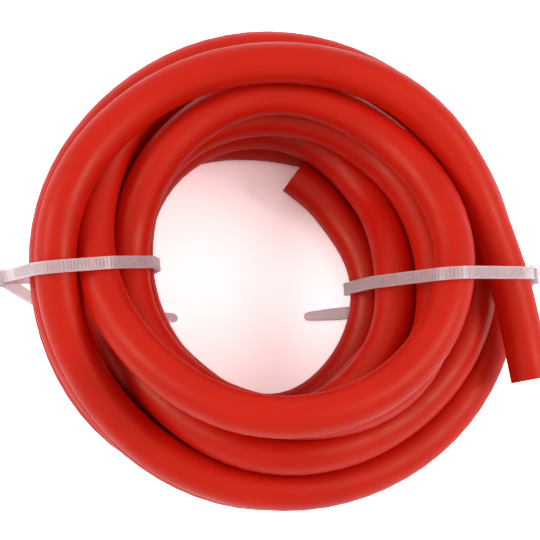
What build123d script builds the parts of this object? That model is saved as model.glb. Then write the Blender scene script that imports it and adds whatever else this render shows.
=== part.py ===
from build123d import *
import os
from math import atan2, cos, degrees, hypot, pi, radians, sin, tan

# A coil of thick-walled rubber vacuum tubing, cut square at both ends and held by two cable ties.
# +Z is up, the coil's axis is upright and the tubing rests on the plane Z = 0.

# Tubing
tube_diameter = 12.0
bore_diameter = 6.0
turn_clearance = 0.25  # the least air between two turns

# Coil
coil_radius = 55.0  # from the coil's axis to the middle column of turns
coil_axis = (0.6, -2.7)  # beside the origin, which is under the middle of the whole
points_per_turn = 24
stations_per_turn = 8
outer_end_angle = -24.5  # where the top turn is cut off, in degrees from +X
inner_end_angle = 9 * 360 + 80.0  # where the innermost turn is cut off, more than nine turns later
run_share = 0.45  # how much of the shorter run each arc of the route takes

# Cable ties
strap_width = 3.6
strap_thickness = 1.1
strap_clearance = 0.8  # between a strap and the tubing, where it crosses squarely
head_length = 6.0
head_width = 5.6
head_depth = 3.8
head_rounding = 0.8
tail_bend = 4.0
tail_tip_length = 9.0
tail_tip_width = 2.4
floor_clearance = 0.05  # under each tail
tail_clearance = 0.15  # between a tail and the strap over it
left_tilt = 12.0  # the left tie leans towards -Y as it rises
left_turn = 5.5  # and its plane is turned about the vertical, its head towards -Y
left_offset = 10.2  # of that plane towards +Y, on the floor beside the coil's axis
left_head_height = 34.0
left_head_standoff = 5.0  # the left head stands off from the turns, the right one lies on them
left_tail_slant = 11.0  # how far inward the tail comes as it drops
left_tip_distance = 30.0  # from the coil's axis
left_tip_setback = 9.0
right_tilt = 11.0
right_turn = 3.5
right_offset = -1.6
right_head_height = 28.0
right_head_standoff = 0.0
right_tail_slant = 2.0
right_tip_distance = 9.0
right_tip_setback = 8.5

pitch = tube_diameter + turn_clearance
tube_radius = tube_diameter / 2
# How far the turns rise where they lie over a tie's strap and tail
tie_lift = floor_clearance + 2 * strap_thickness + tail_clearance + strap_clearance

# The tubing's way through the coil, from its outer end on top to its inner end at the bottom.
# Each row is one turn and has a place for every 45 degrees, counted from +X towards +Y:
# columns outward from the coil radius, then layers up from the lowest one, both in pitches.
lead_in = [(3.25, 1.3)]
turns = [
    [
        (0.92, 2.1), (0.4, 3.35), (-0.1, 4.1), (0.15, 3.85),
        (0.6, 3.8), (0.8, 2.25), (0.95, 1.75), (1, 0.85),
    ],
    [
        (1.08, 0.1), (1.2, 0.55), (1.4, 1.05), (1.05, 1.8),
        (0.95, 2), (0.8, 1.15), (0.8, 0.75), (0.35, 0),
    ],
    [
        (-0.05, 0.15), (0.25, 0.02), (1, 0.02), (1.3, 0.1),
        (1.05, 0.9), (0.78, 0.12), (0, 0.02), (-0.75, 0),
    ],
    [
        (-1.1, 0.15), (-0.85, 0), (-0.75, 0), (-0.05, 0),
        (0.2, 0.15), (-0.27, 0.35), (-0.5, 0.95), (-1.25, 1),
    ],
    [
        (-0.7, 1.15), (-0.3, 0.9), (0.2, 0.7), (0.55, 0.9),
        (0, 1.35), (-0.3, 1.95), (0.25, 2.65), (0.3, 1.65),
    ],
    [
        (0.5, 1), (0.7, 1.45), (0.5, 1.75), (0.25, 2.7),
        (-0.25, 3.2), (-0.5, 3.9), (-0.3, 4.35), (-0.2, 3.8),
    ],
    [
        (-0.3, 3.25), (-0.6, 2.9), (-0.55, 3.15), (-0.9, 3.1),
        (-1, 2.35), (-0.85, 2.9), (-0.5, 3.35), (-0.15, 2.75),
    ],
    [
        (-0.7, 2.3), (-0.8, 1.85), (-0.75, 2.15), (-0.7, 2),
        (-1.05, 1.25), (-1.1, 1.25), (-0.6, 2), (-1.05, 2.15),
    ],
    [
        (-1.65, 1.8), (-1.4, 1), (-0.75, 1.1), (-0.6, 0.95),
        (-0.9, 0.15), (-1.3, 0), (-1.2, 0.05), (-1.8, 0),
    ],
]
lead_out = [(-2.15, 0.15), (-2.2, 0.15), (-1.6, 0.55)]

places = lead_in + [place for turn in turns for place in turn] + lead_out
station_angle = 360 / stations_per_turn


def place_at(angle):
    """The tubing's column and layer at an angle, on a smooth curve through the places."""
    along = angle / station_angle + len(lead_in)
    first = min(max(int(along), 0), len(places) - 2)
    t = along - first
    weights = (
        -t / 2 + t**2 - t**3 / 2,
        1 - 5 * t**2 / 2 + 3 * t**3 / 2,
        t / 2 + 2 * t**2 - 3 * t**3 / 2,
        -(t**2) / 2 + t**3 / 2,
    )
    last = len(places) - 1
    near = [places[min(max(first + step, 0), last)] for step in (-1, 0, 1, 2)]
    return tuple(sum(w * place[k] for w, place in zip(weights, near)) for k in (0, 1))


def coil_point(angle, outward=1.0):
    """The tubing's middle, from the coil's axis; outward is over 1 for a corner outside the turns."""
    column, layer = place_at(angle)
    radius = (coil_radius + column * pitch) * outward
    height = tube_radius + layer * pitch + tie_lift * cos(radians(angle)) ** 2
    return Vector(radius * cos(radians(angle)), radius * sin(radians(angle)), height)


# Route: corners a little outside the turns, because each arc passes inside its corner
axis_foot = Vector(*coil_axis, 0)
whole_angle = inner_end_angle - outer_end_angle
step_count = round(whole_angle * points_per_turn / 360)
step_angle = whole_angle / step_count
corner_outward = 1 / cos(radians(step_angle) / 2)
route = []
for step in range(step_count + 1):
    outward = 1 if step in (0, step_count) else corner_outward
    route.append(axis_foot + coil_point(outer_end_angle + step * step_angle, outward))

radii = []
for before, corner, after in zip(route, route[1:], route[2:]):
    turn = (corner - before).get_angle(after - corner)
    radii.append(run_share * min((corner - before).length, (after - corner).length) / tan(radians(turn) / 2))

with BuildPart() as tubing:
    with BuildLine() as tube_route:
        FilletPolyline(*route, radius=radii)
    with BuildSketch(Plane(origin=tube_route.line @ 0, z_dir=tube_route.line % 0)):
        Circle(tube_radius)
        Circle(bore_diameter / 2, mode=Mode.SUBTRACT)
    sweep()

tubing.part.label = "tubing"


def hull(points):
    """The corners of the tightest convex outline round some points, counterclockwise."""
    points = sorted(points)
    sides = []
    for ordered in (points, points[::-1]):
        side = []
        for x, y in ordered:
            while len(side) > 1 and (side[-1][0] - side[-2][0]) * (y - side[-2][1]) <= (
                side[-1][1] - side[-2][1]
            ) * (x - side[-2][0]):
                side.pop()
            side.append((x, y))
        sides.append(side[:-1])
    return sides[0] + sides[1]


def crossings(leaning, first_angle):
    """Where the turns cross the two edges of a strap in a leaning plane, outward and up in the plane."""
    middles = []
    for edge in (-strap_width / 2, strap_width / 2):
        angle = first_angle
        while angle < inner_end_angle:
            crossing = angle
            for closer in range(4):
                middle = coil_point(crossing)
                place = leaning.to_local_coords(axis_foot + middle)
                crossing += degrees((place.Z - edge) / hypot(middle.X, middle.Y))
            middles.append((place.X, place.Y))
            angle += 360
    return middles


def cable_tie(
    side, tie_tilt, turn, plane_offset, head_height, head_standoff, tail_slant, tip_distance, tip_setback
):
    """A tie on the +X side (side 1) or the -X side (side -1), with its tail's tip inside the coil."""
    tilt = radians(tie_tilt)
    out = Vector(side, 0, 0).rotate(Axis.Z, turn)
    across = out.cross(Vector(0, 0, 1))
    leaning = Plane(
        origin=axis_foot + Vector(0, plane_offset, 0),
        x_dir=out,
        z_dir=across * cos(tilt) - Vector(0, 0, side * sin(tilt)),
    )
    middles = crossings(leaning, 0 if side > 0 else 180)
    head_reach = max(outward for outward, up in middles) + head_standoff
    outline = hull(middles + [(head_reach, head_height / cos(tilt))])
    around_tubing = tube_radius + strap_clearance
    head_middle = head_reach + around_tubing + head_depth / 2

    # The tail drops from the head to the floor and runs straight under the turns to its tip
    head_place = leaning.from_local_coords(Vector(head_middle, head_height / cos(tilt), 0))
    head_foot = Vector(head_place.X, head_place.Y, 0)
    tip = axis_foot + Vector(side * tip_distance, -tip_setback, 0)
    inward = (tip - head_foot).normalized()
    tail_plane = Plane(origin=head_foot, x_dir=inward, z_dir=inward.cross(Vector(0, 0, 1)))
    tail_plan = Plane(origin=head_foot, x_dir=inward, z_dir=(0, 0, 1))
    tail_length = (tip - head_foot).length
    tail_level = strap_thickness / 2 + floor_clearance

    with BuildPart() as tie:
        with BuildSketch(tail_plane):
            with BuildLine(mode=Mode.PRIVATE) as tail_line:
                FilletPolyline(
                    (0, head_height), (tail_slant, tail_level), (tail_length, tail_level), radius=tail_bend
                )
            trace(tail_line.line, strap_thickness)
        extrude(amount=strap_width / 2, both=True)
        with BuildSketch(tail_plan):
            with BuildLine():
                Polyline(
                    (-head_depth, strap_width / 2),
                    (-head_depth, -strap_width / 2),
                    (tail_length - tail_tip_length, -strap_width / 2),
                    (tail_length, -tail_tip_width / 2),
                    (tail_length, tail_tip_width / 2),
                    (tail_length - tail_tip_length, strap_width / 2),
                    close=True,
                )
            make_face()
            fillet(vertices().sort_by(Axis(head_foot, inward))[-2:], tail_tip_width / 2.2)
        extrude(amount=head_height, mode=Mode.INTERSECT)
        with BuildSketch(leaning):
            with BuildLine():
                Polyline(*outline, close=True)
            make_face()
            offset(amount=around_tubing + strap_thickness, mode=Mode.REPLACE)
            with BuildSketch(mode=Mode.SUBTRACT):
                with BuildLine():
                    Polyline(*outline, close=True)
                make_face()
                offset(amount=around_tubing, mode=Mode.REPLACE)
        extrude(amount=strap_width / 2, both=True)
        with BuildSketch(leaning):
            with Locations((head_middle, head_height / cos(tilt))):
                RectangleRounded(head_depth, head_length, head_rounding)
        extrude(amount=head_width / 2, both=True)
    return tie


left_cable_tie = cable_tie(
    -1,
    left_tilt,
    left_turn,
    left_offset,
    left_head_height,
    left_head_standoff,
    left_tail_slant,
    left_tip_distance,
    left_tip_setback,
)
left_cable_tie.part.label = "left_cable_tie"

right_cable_tie = cable_tie(
    1,
    right_tilt,
    right_turn,
    right_offset,
    right_head_height,
    right_head_standoff,
    right_tail_slant,
    right_tip_distance,
    right_tip_setback,
)
right_cable_tie.part.label = "right_cable_tie"

os.makedirs("parts", exist_ok=True)
export_step(tubing.part, "parts/tubing.step")
export_step(left_cable_tie.part, "parts/left_cable_tie.step")
export_step(right_cable_tie.part, "parts/right_cable_tie.step")

tube_length = tube_route.wires()[0].length
section_area = pi / 4 * (tube_diameter**2 - bore_diameter**2)
print("radii of the route:", " ".join(f"{radius:.0f}" for radius in radii))
print(f"smallest radius {min(radii):.1f} mm, tube length {tube_length:.0f} mm")
print(f"volume {tubing.part.volume:.0f} mm3, section times length {section_area * tube_length:.0f} mm3")
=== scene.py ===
import math

import bpy
from mathutils import Matrix, Vector


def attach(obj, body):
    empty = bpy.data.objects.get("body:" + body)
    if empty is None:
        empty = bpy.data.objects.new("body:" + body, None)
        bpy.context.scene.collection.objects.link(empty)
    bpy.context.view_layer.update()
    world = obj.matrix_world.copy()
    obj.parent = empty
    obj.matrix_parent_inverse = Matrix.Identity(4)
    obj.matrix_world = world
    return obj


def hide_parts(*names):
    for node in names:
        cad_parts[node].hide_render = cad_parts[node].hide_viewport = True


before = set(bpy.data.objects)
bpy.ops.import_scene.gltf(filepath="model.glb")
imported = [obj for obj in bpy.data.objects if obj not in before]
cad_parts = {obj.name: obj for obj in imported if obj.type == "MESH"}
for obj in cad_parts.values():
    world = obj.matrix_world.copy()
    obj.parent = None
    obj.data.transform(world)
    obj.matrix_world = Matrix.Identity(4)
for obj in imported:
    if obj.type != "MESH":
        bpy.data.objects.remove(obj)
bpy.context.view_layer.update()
print("packed coil loaded")

mm = 0.001

viewpoint = {
    "lookAt": (0.6, -2.7, 24.5),
    "elevation": 75.0,
    "distance": 612.5,
    "lens": 136.7,
    "shiftX": -0.0093,
}


def placeCamera():
    rise = math.radians(viewpoint["elevation"])
    target = Vector(viewpoint["lookAt"]) * mm
    back = Vector((0, -math.cos(rise), math.sin(rise)))
    cameraData = bpy.data.cameras.new("studioCamera")
    cameraData.sensor_width = 36
    cameraData.lens = viewpoint["lens"]
    cameraData.shift_x = viewpoint["shiftX"]
    cameraData.clip_start, cameraData.clip_end = 0.01, 20
    camera = bpy.data.objects.new("studioCamera", cameraData)
    bpy.context.collection.objects.link(camera)
    camera.location = target + back * viewpoint["distance"] * mm
    camera.rotation_euler = (-back).to_track_quat("-Z", "Y").to_euler()
    bpy.context.scene.camera = camera


placeCamera()
print("camera placed")

# The cable ties' sizes in millimetres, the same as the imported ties
cableTie = {
    "strapWidth": 3.6,
    "strapThickness": 1.1,
    "clearance": 0.8,
    "headLength": 6.0,
    "headWidth": 5.6,
    "headDepth": 3.8,
    "headRounding": 0.7,
    "tailBend": 4.0,
    "tipLength": 9.0,
    "tipWidth": 2.4,
    "tipRounding": 0.14,  # share of the tip that its round end takes
    "floorClearance": 0.05,
    "tailClearance": 0.15,
    "ribSpacing": 1.05,
    "grooveShare": 0.22,  # where the groove between two ribs starts and ends
    "channelWidth": 2.5,
    "channelDepth": 0.32,
    "smoothRoot": 14.0,
    "smoothTip": 13.0,
    "arcStep": 6.0,  # degrees
    "bendSteps": 8,
}

# The tubing's way through the coil, in the part's own sizes in millimetres. Each row of turns
# is one turn: a column outward and a layer up, in pitches, for every 45 degrees from +X.
coil = {
    "tubeDiameter": 12.0,
    "boreDiameter": 6.0,
    "turnClearance": 0.25,
    "coilRadius": 55.0,
    "coilAxis": (0.6, -2.7),
    "pointsPerTurn": 24,
    "stationsPerTurn": 8,
    "outerEndAngle": -24.5,
    "innerEndAngle": 9 * 360 + 80.0,
    "tieLift": (
        cableTie["floorClearance"]
        + 2 * cableTie["strapThickness"]
        + cableTie["tailClearance"]
        + cableTie["clearance"]
    ),
    "length": 3.135,  # metres
    "sides": 36,
    "lineSteps": 3,  # of the line between two of its control points
    # The knife leaves a slightly rolled lip: set back, off the outside, off the bore
    "lip": ((0, 0.22, 0.12), (0.1, 0.06, 0.03), (0.3, 0, 0)),
    "lipReach": 1.2,  # no other ring is this near to an end
}
leadIn = [(3.25, 1.3)]
turns = [
    [
        (0.92, 2.1), (0.4, 3.35), (-0.1, 4.1), (0.15, 3.85),
        (0.6, 3.8), (0.8, 2.25), (0.95, 1.75), (1, 0.85),
    ],
    [
        (1.08, 0.1), (1.2, 0.55), (1.4, 1.05), (1.05, 1.8),
        (0.95, 2), (0.8, 1.15), (0.8, 0.75), (0.35, 0),
    ],
    [
        (-0.05, 0.15), (0.25, 0.02), (1, 0.02), (1.3, 0.1),
        (1.05, 0.9), (0.78, 0.12), (0, 0.02), (-0.75, 0),
    ],
    [
        (-1.1, 0.15), (-0.85, 0), (-0.75, 0), (-0.05, 0),
        (0.2, 0.15), (-0.27, 0.35), (-0.5, 0.95), (-1.25, 1),
    ],
    [
        (-0.7, 1.15), (-0.3, 0.9), (0.2, 0.7), (0.55, 0.9),
        (0, 1.35), (-0.3, 1.95), (0.25, 2.65), (0.3, 1.65),
    ],
    [
        (0.5, 1), (0.7, 1.45), (0.5, 1.75), (0.25, 2.7),
        (-0.25, 3.2), (-0.5, 3.9), (-0.3, 4.35), (-0.2, 3.8),
    ],
    [
        (-0.3, 3.25), (-0.6, 2.9), (-0.55, 3.15), (-0.9, 3.1),
        (-1, 2.35), (-0.85, 2.9), (-0.5, 3.35), (-0.15, 2.75),
    ],
    [
        (-0.7, 2.3), (-0.8, 1.85), (-0.75, 2.15), (-0.7, 2),
        (-1.05, 1.25), (-1.1, 1.25), (-0.6, 2), (-1.05, 2.15),
    ],
    [
        (-1.65, 1.8), (-1.4, 1), (-0.75, 1.1), (-0.6, 0.95),
        (-0.9, 0.15), (-1.3, 0), (-1.2, 0.05), (-1.8, 0),
    ],
]
leadOut = [(-2.15, 0.15), (-2.2, 0.15), (-1.6, 0.55)]
places = leadIn + [place for turn in turns for place in turn] + leadOut


def placeAt(angle):
    along = angle / (360 / coil["stationsPerTurn"]) + len(leadIn)
    first = min(max(int(along), 0), len(places) - 2)
    t = along - first
    weights = (
        -t / 2 + t**2 - t**3 / 2,
        1 - 5 * t**2 / 2 + 3 * t**3 / 2,
        t / 2 + 2 * t**2 - 3 * t**3 / 2,
        -(t**2) / 2 + t**3 / 2,
    )
    last = len(places) - 1
    near = [places[min(max(first + step, 0), last)] for step in (-1, 0, 1, 2)]
    return tuple(sum(w * place[k] for w, place in zip(weights, near)) for k in (0, 1))


def coilPoint(angle, outward=1.0):
    column, layer = placeAt(angle)
    pitch = coil["tubeDiameter"] + coil["turnClearance"]
    radius = (coil["coilRadius"] + column * pitch) * outward
    turned = math.radians(angle)
    height = coil["tubeDiameter"] / 2 + layer * pitch + coil["tieLift"] * math.cos(turned) ** 2
    return Vector((radius * math.cos(turned), radius * math.sin(turned), height))


def tubingRoute():
    axisFoot = Vector((*coil["coilAxis"], 0))
    wholeAngle = coil["innerEndAngle"] - coil["outerEndAngle"]
    stepCount = round(wholeAngle * coil["pointsPerTurn"] / 360)
    stepAngle = wholeAngle / stepCount
    cornerOutward = 1 / math.cos(math.radians(stepAngle) / 2)
    route = []
    for step in range(stepCount + 1):
        outward = 1 if step in (0, stepCount) else cornerOutward
        angle = coil["outerEndAngle"] + step * stepAngle
        route.append((axisFoot + coilPoint(angle, outward)) * mm)
    return route


def smoothLine(name, route, steps):
    lineData = bpy.data.curves.new(name, "CURVE")
    lineData.dimensions = "3D"
    spline = lineData.splines.new("NURBS")
    spline.points.add(len(route) - 1)
    for point, place in zip(spline.points, route):
        point.co = (*place, 1)
    spline.order_u = 3
    spline.use_endpoint_u = True
    spline.resolution_u = steps
    line = bpy.data.objects.new(name, lineData)
    bpy.context.collection.objects.link(line)
    bpy.context.view_layer.update()
    evaluated = line.evaluated_get(bpy.context.evaluated_depsgraph_get())
    followed = bpy.data.meshes.new_from_object(evaluated)
    points = [vertex.co.copy() for vertex in followed.vertices]
    bpy.data.objects.remove(line)
    bpy.data.meshes.remove(followed)
    return points


def ringAt(middle, along, side, radius, count):
    up = along.cross(side)
    ring = []
    for k in range(count):
        turned = 2 * math.pi * k / count
        ring.append(middle + (side * math.cos(turned) + up * math.sin(turned)) * radius)
    return ring


def makeTubing(line):
    outer = coil["tubeDiameter"] / 2 * mm
    bore = coil["boreDiameter"] / 2 * mm
    count = coil["sides"]
    lip = [(back * mm, outer - off * mm, bore + wider * mm) for back, off, wider in coil["lip"]]
    lipReach = coil["lipReach"] * mm
    stations = []  # middle, direction, side, travelled
    travelled = 0
    side = None
    for k, place in enumerate(line):
        before, after = line[max(k - 1, 0)], line[min(k + 1, len(line) - 1)]
        along = (after - before).normalized()
        side = along.orthogonal() if side is None else side - along * side.dot(along)
        side = side.normalized()
        if k:
            travelled += (place - before).length
        stations.append((place, along, side.copy(), travelled))
    total = travelled
    start, end = stations[0], stations[-1]
    outside, inside = [], []
    for back, outR, inR in lip:
        outside.append((start[0] + start[1] * back, start[1], start[2], outR, back))
        inside.append((start[0] + start[1] * back, start[1], start[2], inR, back))
    for place, along, side, gone in stations:
        if lipReach < gone < total - lipReach:
            outside.append((place, along, side, outer, gone))
            inside.append((place, along, side, bore, gone))
    for back, outR, inR in reversed(lip):
        outside.append((end[0] - end[1] * back, end[1], end[2], outR, total - back))
        inside.append((end[0] - end[1] * back, end[1], end[2], inR, total - back))
    # Along the outside, then back through the bore
    rings = outside + inside[::-1]
    vertices = []
    for place, along, side, radius, gone in rings:
        vertices += ringAt(place, along, side, radius, count)
    faces, gone, around = [], [], []
    for r in range(len(rings)):
        n = (r + 1) % len(rings)
        for k in range(count):
            m = (k + 1) % count
            faces.append((r * count + k, r * count + m, n * count + m, n * count + k))
            around.append((k / count, (k + 1) / count, (k + 1) / count, k / count))
            gone.append((rings[r][4], rings[r][4], rings[n][4], rings[n][4]))
    mesh = bpy.data.meshes.new("tubingCoil")
    mesh.from_pydata(vertices, [], faces)
    lay = mesh.uv_layers.new(name="alongTubing")
    for face in mesh.polygons:
        for corner, u, v in zip(face.loop_indices, gone[face.index], around[face.index]):
            lay.data[corner].uv = (u / (math.pi * 2 * outer), v)
    tubing = bpy.data.objects.new("tubingCoil", mesh)
    bpy.context.collection.objects.link(tubing)
    bpy.ops.object.select_all(action="DESELECT")
    tubing.select_set(True)
    bpy.context.view_layer.objects.active = tubing
    bpy.ops.object.mode_set(mode="EDIT")
    bpy.ops.mesh.select_all(action="SELECT")
    bpy.ops.mesh.normals_make_consistent(inside=False)
    bpy.ops.object.mode_set(mode="OBJECT")
    bpy.ops.object.shade_smooth_by_angle(angle=math.radians(40))
    return tubing


tubingLine = smoothLine("tubingLine", tubingRoute(), coil["lineSteps"])
tubingCoil = makeTubing(tubingLine)
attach(tubingCoil, "root")
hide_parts("tubing")
lineLength = sum((b - a).length for a, b in zip(tubingLine, tubingLine[1:]))
print("tubing laid,", round(lineLength, 3), "m")


# Where each tie sits, in millimetres and degrees
tieSides = {
    "left_cable_tie": {
        "side": -1,
        "tilt": 12.0,
        "turn": 5.5,
        "offset": 10.2,
        "headHeight": 34.0,
        "standoff": 5.0,
        "slant": 11.0,
        "tip": 30.0,
        "setback": 9.0,
    },
    "right_cable_tie": {
        "side": 1,
        "tilt": 11.0,
        "turn": 3.5,
        "offset": -1.6,
        "headHeight": 28.0,
        "standoff": 0.0,
        "slant": 2.0,
        "tip": 9.0,
        "setback": 8.5,
    },
}


def hullOf(points):
    points = sorted(points)
    sides = []
    for ordered in (points, points[::-1]):
        side = []
        for x, y in ordered:
            while len(side) > 1:
                (x0, y0), (x1, y1) = side[-2:]
                if (x1 - x0) * (y - y0) > (y1 - y0) * (x - x0):
                    break
                side.pop()
            side.append((x, y))
        sides.append(side[:-1])
    return sides[0] + sides[1]


def tiePlane(side, tilt, turn, offset):
    out = Vector((side, 0, 0))
    out.rotate(Matrix.Rotation(math.radians(turn), 3, "Z"))
    normal = out.cross(Vector((0, 0, 1))) * math.cos(tilt) - Vector((0, 0, side * math.sin(tilt)))
    up = normal.cross(out)
    axisFoot = Vector((*coil["coilAxis"], 0)) + Vector((0, offset, 0))
    return Matrix.Translation(axisFoot) @ Matrix((out, up, normal)).transposed().to_4x4()


def tieCrossings(leaning, firstAngle):
    middles = []
    toPlane = leaning.inverted()
    axisFoot = Vector((*coil["coilAxis"], 0))
    for edge in (-cableTie["strapWidth"] / 2, cableTie["strapWidth"] / 2):
        angle = firstAngle
        while angle < coil["innerEndAngle"]:
            crossing = angle
            for closer in range(4):
                middle = coilPoint(crossing)
                place = toPlane @ (axisFoot + middle)
                crossing += math.degrees((place.z - edge) / math.hypot(middle.x, middle.y))
            middles.append((place.x, place.y))
            angle += 360
    return middles


def strapLoop(outline, reach):
    points = []
    count = len(outline)
    for k, corner in enumerate(outline):
        before, after = outline[k - 1], outline[(k + 1) % count]
        first = math.atan2(corner[1] - before[1], corner[0] - before[0]) - math.pi / 2
        last = math.atan2(after[1] - corner[1], after[0] - corner[0]) - math.pi / 2
        while last < first:
            last += 2 * math.pi
        steps = max(1, math.ceil((last - first) / math.radians(cableTie["arcStep"])))
        for step in range(steps + 1):
            turned = first + (last - first) * step / steps
            points.append((corner[0] + reach * math.cos(turned), corner[1] + reach * math.sin(turned)))
    return points


def flatLine(name, points, closed):
    lineData = bpy.data.curves.new(name, "CURVE")
    lineData.dimensions = "2D"
    spline = lineData.splines.new("POLY")
    spline.points.add(len(points) - 1)
    for point, place in zip(spline.points, points):
        point.co = (place[0] * mm, place[1] * mm, 0, 1)
    spline.use_cyclic_u = closed
    line = bpy.data.objects.new(name, lineData)
    bpy.context.collection.objects.link(line)
    return line


def pathLength(points):
    return sum(math.dist(a, b) for a, b in zip(points, points[1:]))


def selectFaces(obj, wanted):
    bpy.ops.mesh.select_mode(type="FACE")
    bpy.ops.mesh.select_all(action="DESELECT")
    bpy.ops.object.mode_set(mode="OBJECT")
    for face in obj.data.polygons:
        face.select = wanted(face.center, face.normal)
    bpy.ops.object.mode_set(mode="EDIT")


def ribbedLink(name, ribbed):
    width, thick = cableTie["strapWidth"] * mm, cableTie["strapThickness"] * mm
    channel, depth = cableTie["channelWidth"] * mm, cableTie["channelDepth"] * mm
    spacing = cableTie["ribSpacing"] * mm
    grooveStart = cableTie["grooveShare"] * spacing
    grooveEnd = (1 - cableTie["grooveShare"]) * spacing

    def inGroove(c, n):
        return n.y < -0.9 and abs(c.z) < channel / 2 and grooveStart < c.x < grooveEnd

    bpy.ops.object.select_all(action="DESELECT")
    bpy.ops.mesh.primitive_cube_add(size=1, location=(spacing / 2, 0, 0))
    link = bpy.context.object
    link.name = name
    link.scale = (spacing, thick, width)
    bpy.ops.object.transform_apply(location=True, rotation=False, scale=True)
    bpy.ops.object.mode_set(mode="EDIT")
    for z in (-channel / 2, channel / 2):
        bpy.ops.mesh.select_all(action="SELECT")
        bpy.ops.mesh.bisect(plane_co=(0, 0, z), plane_no=(0, 0, 1))
    if ribbed:
        for x in (grooveStart, grooveEnd):
            bpy.ops.mesh.select_all(action="SELECT")
            bpy.ops.mesh.bisect(plane_co=(x, 0, 0), plane_no=(1, 0, 0))
        selectFaces(link, inGroove)
        bpy.ops.mesh.extrude_region_move(TRANSFORM_OT_translate={"value": (0, depth, 0)})
    selectFaces(link, lambda c, n: abs(n.x) > 0.9 and (c.x < 1e-6 or c.x > spacing - 1e-6))
    bpy.ops.mesh.delete(type="FACE")
    bpy.ops.object.mode_set(mode="OBJECT")
    return link


def applyModifier(obj, kind, **settings):
    bpy.ops.object.select_all(action="DESELECT")
    obj.select_set(True)
    bpy.context.view_layer.objects.active = obj
    modifier = obj.modifiers.new(kind, kind)
    for key, value in settings.items():
        setattr(modifier, key, value)
    bpy.ops.object.modifier_apply(modifier=modifier.name)


def strapAlong(name, points, smoothLength, smoothFirst):
    whole = pathLength(points) * mm
    spacing = cableTie["ribSpacing"] * mm
    linkCount = int(whole / spacing)
    smoothCount = round(smoothLength / cableTie["ribSpacing"])
    merging = {"use_merge_vertices": True, "merge_threshold": 1e-5}
    strap = ribbedLink(name, True)
    applyModifier(strap, "ARRAY", count=linkCount - smoothCount, **merging)
    if smoothCount:
        plain = ribbedLink(name + "Plain", False)
        applyModifier(plain, "ARRAY", count=smoothCount, **merging)
        plain.location.x = 0 if smoothFirst else spacing * (linkCount - smoothCount)
        strap.location.x = spacing * smoothCount if smoothFirst else 0
        bpy.ops.object.select_all(action="DESELECT")
        plain.select_set(True)
        strap.select_set(True)
        bpy.context.view_layer.objects.active = strap
        bpy.ops.object.join()
    bpy.ops.object.mode_set(mode="EDIT")
    bpy.ops.mesh.select_all(action="SELECT")
    bpy.ops.mesh.remove_doubles(threshold=1e-5)
    bpy.ops.mesh.select_all(action="DESELECT")
    bpy.ops.mesh.select_mode(type="EDGE")
    bpy.ops.mesh.select_non_manifold(extend=False, use_wire=False, use_boundary=True)
    bpy.ops.mesh.edge_face_add()
    bpy.ops.object.mode_set(mode="OBJECT")
    strap.scale.x = whole / (spacing * linkCount)
    bpy.ops.object.transform_apply(location=True, rotation=False, scale=True)
    return strap


def bendAlong(strap, points):
    line = flatLine(strap.name + "Line", points, False)
    applyModifier(strap, "CURVE", object=line, deform_axis="POS_X")
    bpy.data.objects.remove(line)


def settle(obj, matrix):
    obj.data.transform(matrix)
    obj.data.update()


def taperTip(strap, length):
    end = max(vertex.co.x for vertex in strap.data.vertices)
    narrow = cableTie["tipWidth"] / cableTie["strapWidth"]
    roundEnd = cableTie["tipRounding"]
    for vertex in strap.data.vertices:
        reach = 1 - (end - vertex.co.x) / (length * mm)
        if reach > 0:
            rounding = max(0, reach - (1 - roundEnd)) / roundEnd
            vertex.co.z *= (1 + (narrow - 1) * reach) * math.sqrt(1 - 0.8 * rounding**2)


def makeHead(name):
    depth, length, width = (cableTie[size] * mm for size in ("headDepth", "headLength", "headWidth"))
    bpy.ops.object.select_all(action="DESELECT")
    bpy.ops.mesh.primitive_cube_add(size=1)
    head = bpy.context.object
    head.name = name
    head.scale = (depth, length, width)
    bpy.ops.object.transform_apply(location=False, rotation=False, scale=True)
    bpy.ops.object.mode_set(mode="EDIT")
    bpy.ops.mesh.select_all(action="SELECT")
    bpy.ops.mesh.bevel(offset=cableTie["headRounding"] * mm, segments=3, affect="EDGES")
    # The window that the tail comes out of, and the pawl behind it
    selectFaces(head, lambda c, n: n.x > 0.99 and abs(c.y) < length / 4)
    bpy.ops.mesh.inset(thickness=0.45 * mm, depth=0)
    bpy.ops.mesh.inset(thickness=0.12 * mm, depth=-0.35 * mm)
    for sign in (-1, 1):
        selectFaces(head, lambda c, n: n.y * sign > 0.99 and abs(c.x) < depth / 4)
        bpy.ops.mesh.inset(thickness=0.4 * mm, depth=0)
        bpy.ops.mesh.inset(thickness=0.1 * mm, depth=-0.5 * mm)
    bpy.ops.object.mode_set(mode="OBJECT")
    return head


def joined(name, objects):
    bpy.ops.object.select_all(action="DESELECT")
    for obj in objects:
        obj.select_set(True)
    bpy.context.view_layer.objects.active = objects[0]
    bpy.ops.object.join()
    whole = bpy.context.object
    whole.name = name
    whole.data.name = name
    bpy.ops.object.mode_set(mode="EDIT")
    bpy.ops.mesh.select_all(action="SELECT")
    bpy.ops.mesh.normals_make_consistent(inside=False)
    bpy.ops.object.mode_set(mode="OBJECT")
    bpy.ops.object.shade_smooth_by_angle(angle=math.radians(35))
    return whole


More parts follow.
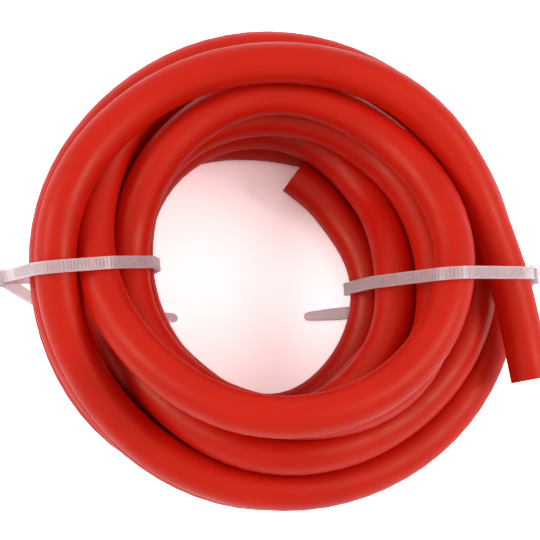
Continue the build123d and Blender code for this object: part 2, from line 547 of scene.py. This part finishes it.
def makeTie(node, side, tilt, turn, offset, headHeight, standoff, slant, tip, setback):
    tilt = math.radians(tilt)
    axisFoot = Vector((*coil["coilAxis"], 0))
    leaning = tiePlane(side, tilt, turn, offset)
    middles = tieCrossings(leaning, 0 if side > 0 else 180)
    headReach = max(outward for outward, up in middles) + standoff
    headCorner = (headReach, headHeight / math.cos(tilt))
    outline = hullOf(middles + [headCorner])
    around = coil["tubeDiameter"] / 2 + cableTie["clearance"]
    headMiddle = headReach + around + cableTie["headDepth"] / 2
    loop = strapLoop(outline, around + cableTie["strapThickness"] / 2)
    underHead = (headReach + around, headCorner[1])
    startAt = min(range(len(loop)), key=lambda k: math.dist(loop[k], underHead))
    loop = loop[startAt:] + loop[: startAt + 1]
    strap = strapAlong(node + "Strap", loop, cableTie["smoothRoot"], True)
    bendAlong(strap, loop)
    placed = Matrix.Scale(mm, 4) @ leaning @ Matrix.Scale(1 / mm, 4)
    settle(strap, placed)

    head = makeHead(node + "Head")
    settle(head, placed @ Matrix.Translation(Vector((headMiddle, headCorner[1], 0)) * mm))

    headFoot = leaning @ Vector((headMiddle, headCorner[1], 0))
    headFoot.z = 0
    tipPlace = axisFoot + Vector((side * tip, -setback, 0))
    inward = (tipPlace - headFoot).normalized()
    level = cableTie["strapThickness"] / 2 + cableTie["floorClearance"]
    bend = cableTie["tailBend"]
    steep = math.atan2(headHeight - level, slant)
    foot = slant + bend * math.tan(steep / 2)  # where the bend ends on the floor
    drop = [(0, headHeight)]
    steps = cableTie["bendSteps"]
    for step in range(steps + 1):
        turned = steep * (1 - step / steps)
        drop.append((foot - bend * math.sin(turned), level + bend - bend * math.cos(turned)))
    drop.append(((tipPlace - headFoot).length, level))
    tail = strapAlong(node + "Tail", drop, cableTie["smoothTip"], False)
    taperTip(tail, cableTie["tipLength"])
    bendAlong(tail, drop)
    across = inward.cross(Vector((0, 0, 1)))
    standing = Matrix((inward, (0, 0, 1), across)).transposed()
    settle(tail, Matrix.Translation(headFoot * mm) @ standing.to_4x4())
    return joined(node + "Nylon", [strap, head, tail])


tiePieces = []
for node, place in tieSides.items():
    tie = makeTie(node, **place)
    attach(tie, "root")
    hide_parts(node)
    tiePieces.append(tie)
    print(node, "made,", len(tie.data.polygons), "faces")


redRubber = {
    "colour": (0.575, 0.0075, 0.0016, 1),
    "deepColour": (0.52, 0.0055, 0.0012, 1),
    "bloomColour": (0.62, 0.055, 0.038, 1),
    "roughness": 0.42,
}
nylon = {
    "colour": (0.98, 0.885, 0.91, 1),
    "roughness": 0.33,
    "transmission": 0.7,
}


def newMaterial(name):
    material = bpy.data.materials.new(name)
    material.use_nodes = True
    nodes = material.node_tree.nodes
    return material, nodes, material.node_tree.links, nodes["Principled BSDF"]


def mottleGroup():
    group = bpy.data.node_groups.new("softMottle", "ShaderNodeTree")
    face = group.interface
    face.new_socket("Vector", in_out="INPUT", socket_type="NodeSocketVector")
    for name, value in (("Scale", 60.0), ("Low", 0.35), ("High", 0.65)):
        face.new_socket(name, in_out="INPUT", socket_type="NodeSocketFloat").default_value = value
    face.new_socket("Mask", in_out="OUTPUT", socket_type="NodeSocketFloat")
    nodes, links = group.nodes, group.links
    given, out = nodes.new("NodeGroupInput"), nodes.new("NodeGroupOutput")
    noise = nodes.new("ShaderNodeTexNoise")
    noise.inputs["Detail"].default_value = 4
    noise.inputs["Roughness"].default_value = 0.6
    spread = nodes.new("ShaderNodeMapRange")
    spread.interpolation_type = "SMOOTHSTEP"
    links.new(given.outputs["Vector"], noise.inputs["Vector"])
    links.new(given.outputs["Scale"], noise.inputs["Scale"])
    links.new(noise.outputs["Fac"], spread.inputs["Value"])
    links.new(given.outputs["Low"], spread.inputs["From Min"])
    links.new(given.outputs["High"], spread.inputs["From Max"])
    links.new(spread.outputs["Result"], out.inputs["Mask"])
    return group


softMottle = mottleGroup()


def placeMottle(nodes, links, vector, scale, low=0.35, high=0.65):
    mottle = nodes.new("ShaderNodeGroup")
    mottle.node_tree = softMottle
    mottle.inputs["Scale"].default_value = scale
    mottle.inputs["Low"].default_value = low
    mottle.inputs["High"].default_value = high
    links.new(vector, mottle.inputs["Vector"])
    return mottle.outputs["Mask"]


def blendColours(nodes, links, mask, first, second):
    mix = nodes.new("ShaderNodeMix")
    mix.data_type = "RGBA"
    links.new(mask, mix.inputs["Factor"])
    for socket, value in (("A", first), ("B", second)):
        target = [i for i in mix.inputs if i.name == socket and i.type == "RGBA"][0]
        if isinstance(value, tuple):
            target.default_value = value
        else:
            links.new(value, target)
    return [o for o in mix.outputs if o.type == "RGBA"][0]


def rubberFinish():
    material, nodes, links, surface = newMaterial("redRubber")
    coordinates = nodes.new("ShaderNodeTexCoord")
    place = coordinates.outputs["Object"]
    cloudy = placeMottle(nodes, links, place, 38, 0.3, 0.7)
    base = blendColours(nodes, links, cloudy, redRubber["colour"], redRubber["deepColour"])
    # Pale talc dust in small scattered specks
    specks = placeMottle(nodes, links, place, 520, 0.735, 0.78)
    base = blendColours(nodes, links, specks, base, redRubber["bloomColour"])
    links.new(base, surface.inputs["Base Color"])
    rough = nodes.new("ShaderNodeMapRange")
    rough.inputs["To Min"].default_value = redRubber["roughness"] - 0.04
    rough.inputs["To Max"].default_value = redRubber["roughness"] + 0.07
    links.new(placeMottle(nodes, links, place, 90), rough.inputs["Value"])
    links.new(rough.outputs["Result"], surface.inputs["Roughness"])
    # Faint lines that the die leaves along the tubing, and the fine grain of the rubber
    drawn = nodes.new("ShaderNodeUVMap")
    drawn.uv_map = "alongTubing"
    stretch = nodes.new("ShaderNodeMapping")
    stretch.inputs["Scale"].default_value = (0.35, 26, 1)
    links.new(drawn.outputs["UV"], stretch.inputs["Vector"])
    lines = placeMottle(nodes, links, stretch.outputs["Vector"], 2.0, 0.2, 0.8)
    grain = placeMottle(nodes, links, place, 1400, 0.2, 0.8)
    height = nodes.new("ShaderNodeMath")
    height.operation = "MULTIPLY_ADD"
    height.inputs[1].default_value = 0.35
    links.new(grain, height.inputs[0])
    links.new(lines, height.inputs[2])
    bump = nodes.new("ShaderNodeBump")
    bump.inputs["Strength"].default_value = 0.12
    bump.inputs["Distance"].default_value = 0.00006
    links.new(height.outputs["Value"], bump.inputs["Height"])
    links.new(bump.outputs["Normal"], surface.inputs["Normal"])
    surface.inputs["Specular IOR Level"].default_value = 0.3
    surface.inputs["Specular Tint"].default_value = (1.0, 0.8, 0.55, 1)
    surface.inputs["Subsurface Weight"].default_value = 0.4
    surface.inputs["Subsurface Scale"].default_value = 0.003
    surface.inputs["Subsurface Radius"].default_value = (1.0, 0.15, 0.08)
    return material


def nylonFinish():
    material, nodes, links, surface = newMaterial("undyedNylon")
    coordinates = nodes.new("ShaderNodeTexCoord")
    place = coordinates.outputs["Object"]
    cloudy = placeMottle(nodes, links, place, 160, 0.3, 0.7)
    darker = tuple(c * 0.93 for c in nylon["colour"][:3]) + (1,)
    links.new(blendColours(nodes, links, cloudy, nylon["colour"], darker), surface.inputs["Base Color"])
    rough = nodes.new("ShaderNodeMapRange")
    rough.inputs["To Min"].default_value = nylon["roughness"] - 0.05
    rough.inputs["To Max"].default_value = nylon["roughness"] + 0.08
    links.new(placeMottle(nodes, links, place, 400), rough.inputs["Value"])
    links.new(rough.outputs["Result"], surface.inputs["Roughness"])
    bump = nodes.new("ShaderNodeBump")
    bump.inputs["Strength"].default_value = 0.1
    bump.inputs["Distance"].default_value = 0.00005
    links.new(placeMottle(nodes, links, place, 1800, 0.2, 0.8), bump.inputs["Height"])
    links.new(bump.outputs["Normal"], surface.inputs["Normal"])
    surface.inputs["Transmission Weight"].default_value = nylon["transmission"]
    surface.inputs["IOR"].default_value = 1.5
    return material


rubberMaterial = rubberFinish()
nylonMaterial = nylonFinish()
tubingCoil.data.materials.clear()
tubingCoil.data.materials.append(rubberMaterial)
for tie in tiePieces:
    tie.data.materials.clear()
    tie.data.materials.append(nylonMaterial)
print("finishes set")


studio = {
    "floorSize": 3.0,
    "floorColour": (0.93, 0.93, 0.93, 1),
    "floorSeen": (2.3, 2.3, 2.3, 1),
    "floorMirrored": (1.15, 1.15, 1.15, 1),
    "lampSize": 0.55,
    "lampPower": 6.0,
    "lampDistance": 1.3,
    "lampRise": 42.0,
    "lampSides": (86.0, -94.0),
    "worldStrength": 0.75,
}


def layFloor():
    bpy.ops.object.select_all(action="DESELECT")
    bpy.ops.mesh.primitive_plane_add(size=studio["floorSize"], location=(0, 0, -0.0001))
    floor = bpy.context.object
    floor.name = "studioFloor"
    material, nodes, links, surface = newMaterial("paleFloor")
    seen = nodes.new("ShaderNodeLightPath")
    direct = nodes.new("ShaderNodeMath")
    direct.operation = "MAXIMUM"
    links.new(seen.outputs["Is Camera Ray"], direct.inputs[0])
    links.new(seen.outputs["Is Transmission Ray"], direct.inputs[1])
    glossy, direct = seen.outputs["Is Glossy Ray"], direct.outputs["Value"]
    shown = blendColours(nodes, links, glossy, studio["floorColour"], studio["floorMirrored"])
    shown = blendColours(nodes, links, direct, shown, studio["floorSeen"])
    plain = nodes.new("ShaderNodeBsdfDiffuse")
    links.new(shown, plain.inputs["Color"])
    links.new(plain.outputs["BSDF"], nodes["Material Output"].inputs["Surface"])
    nodes.remove(surface)
    floor.data.materials.append(material)


def hangLamp(name, side):
    rise, turned = math.radians(studio["lampRise"]), math.radians(side)
    lampData = bpy.data.lights.new(name, "AREA")
    lampData.shape = "DISK"
    lampData.size = studio["lampSize"]
    lampData.energy = studio["lampPower"]
    lamp = bpy.data.objects.new(name, lampData)
    bpy.context.collection.objects.link(lamp)
    outward = math.cos(rise)
    way = Vector((math.sin(turned) * outward, -math.cos(turned) * outward, math.sin(rise)))
    lamp.location = way * studio["lampDistance"]
    lamp.rotation_euler = way.to_track_quat("Z", "Y").to_euler()


def lightWorld():
    world = bpy.data.worlds.new("paleRoom")
    world.use_nodes = True
    background = world.node_tree.nodes["Background"]
    background.inputs["Color"].default_value = (1, 1, 1, 1)
    background.inputs["Strength"].default_value = studio["worldStrength"]
    bpy.context.scene.world = world


layFloor()
for k, side in enumerate(studio["lampSides"]):
    hangLamp("softLamp" + "AB"[k], side)
lightWorld()
bpy.context.scene.view_settings.view_transform = "Standard"
print("floor and lamps in place")
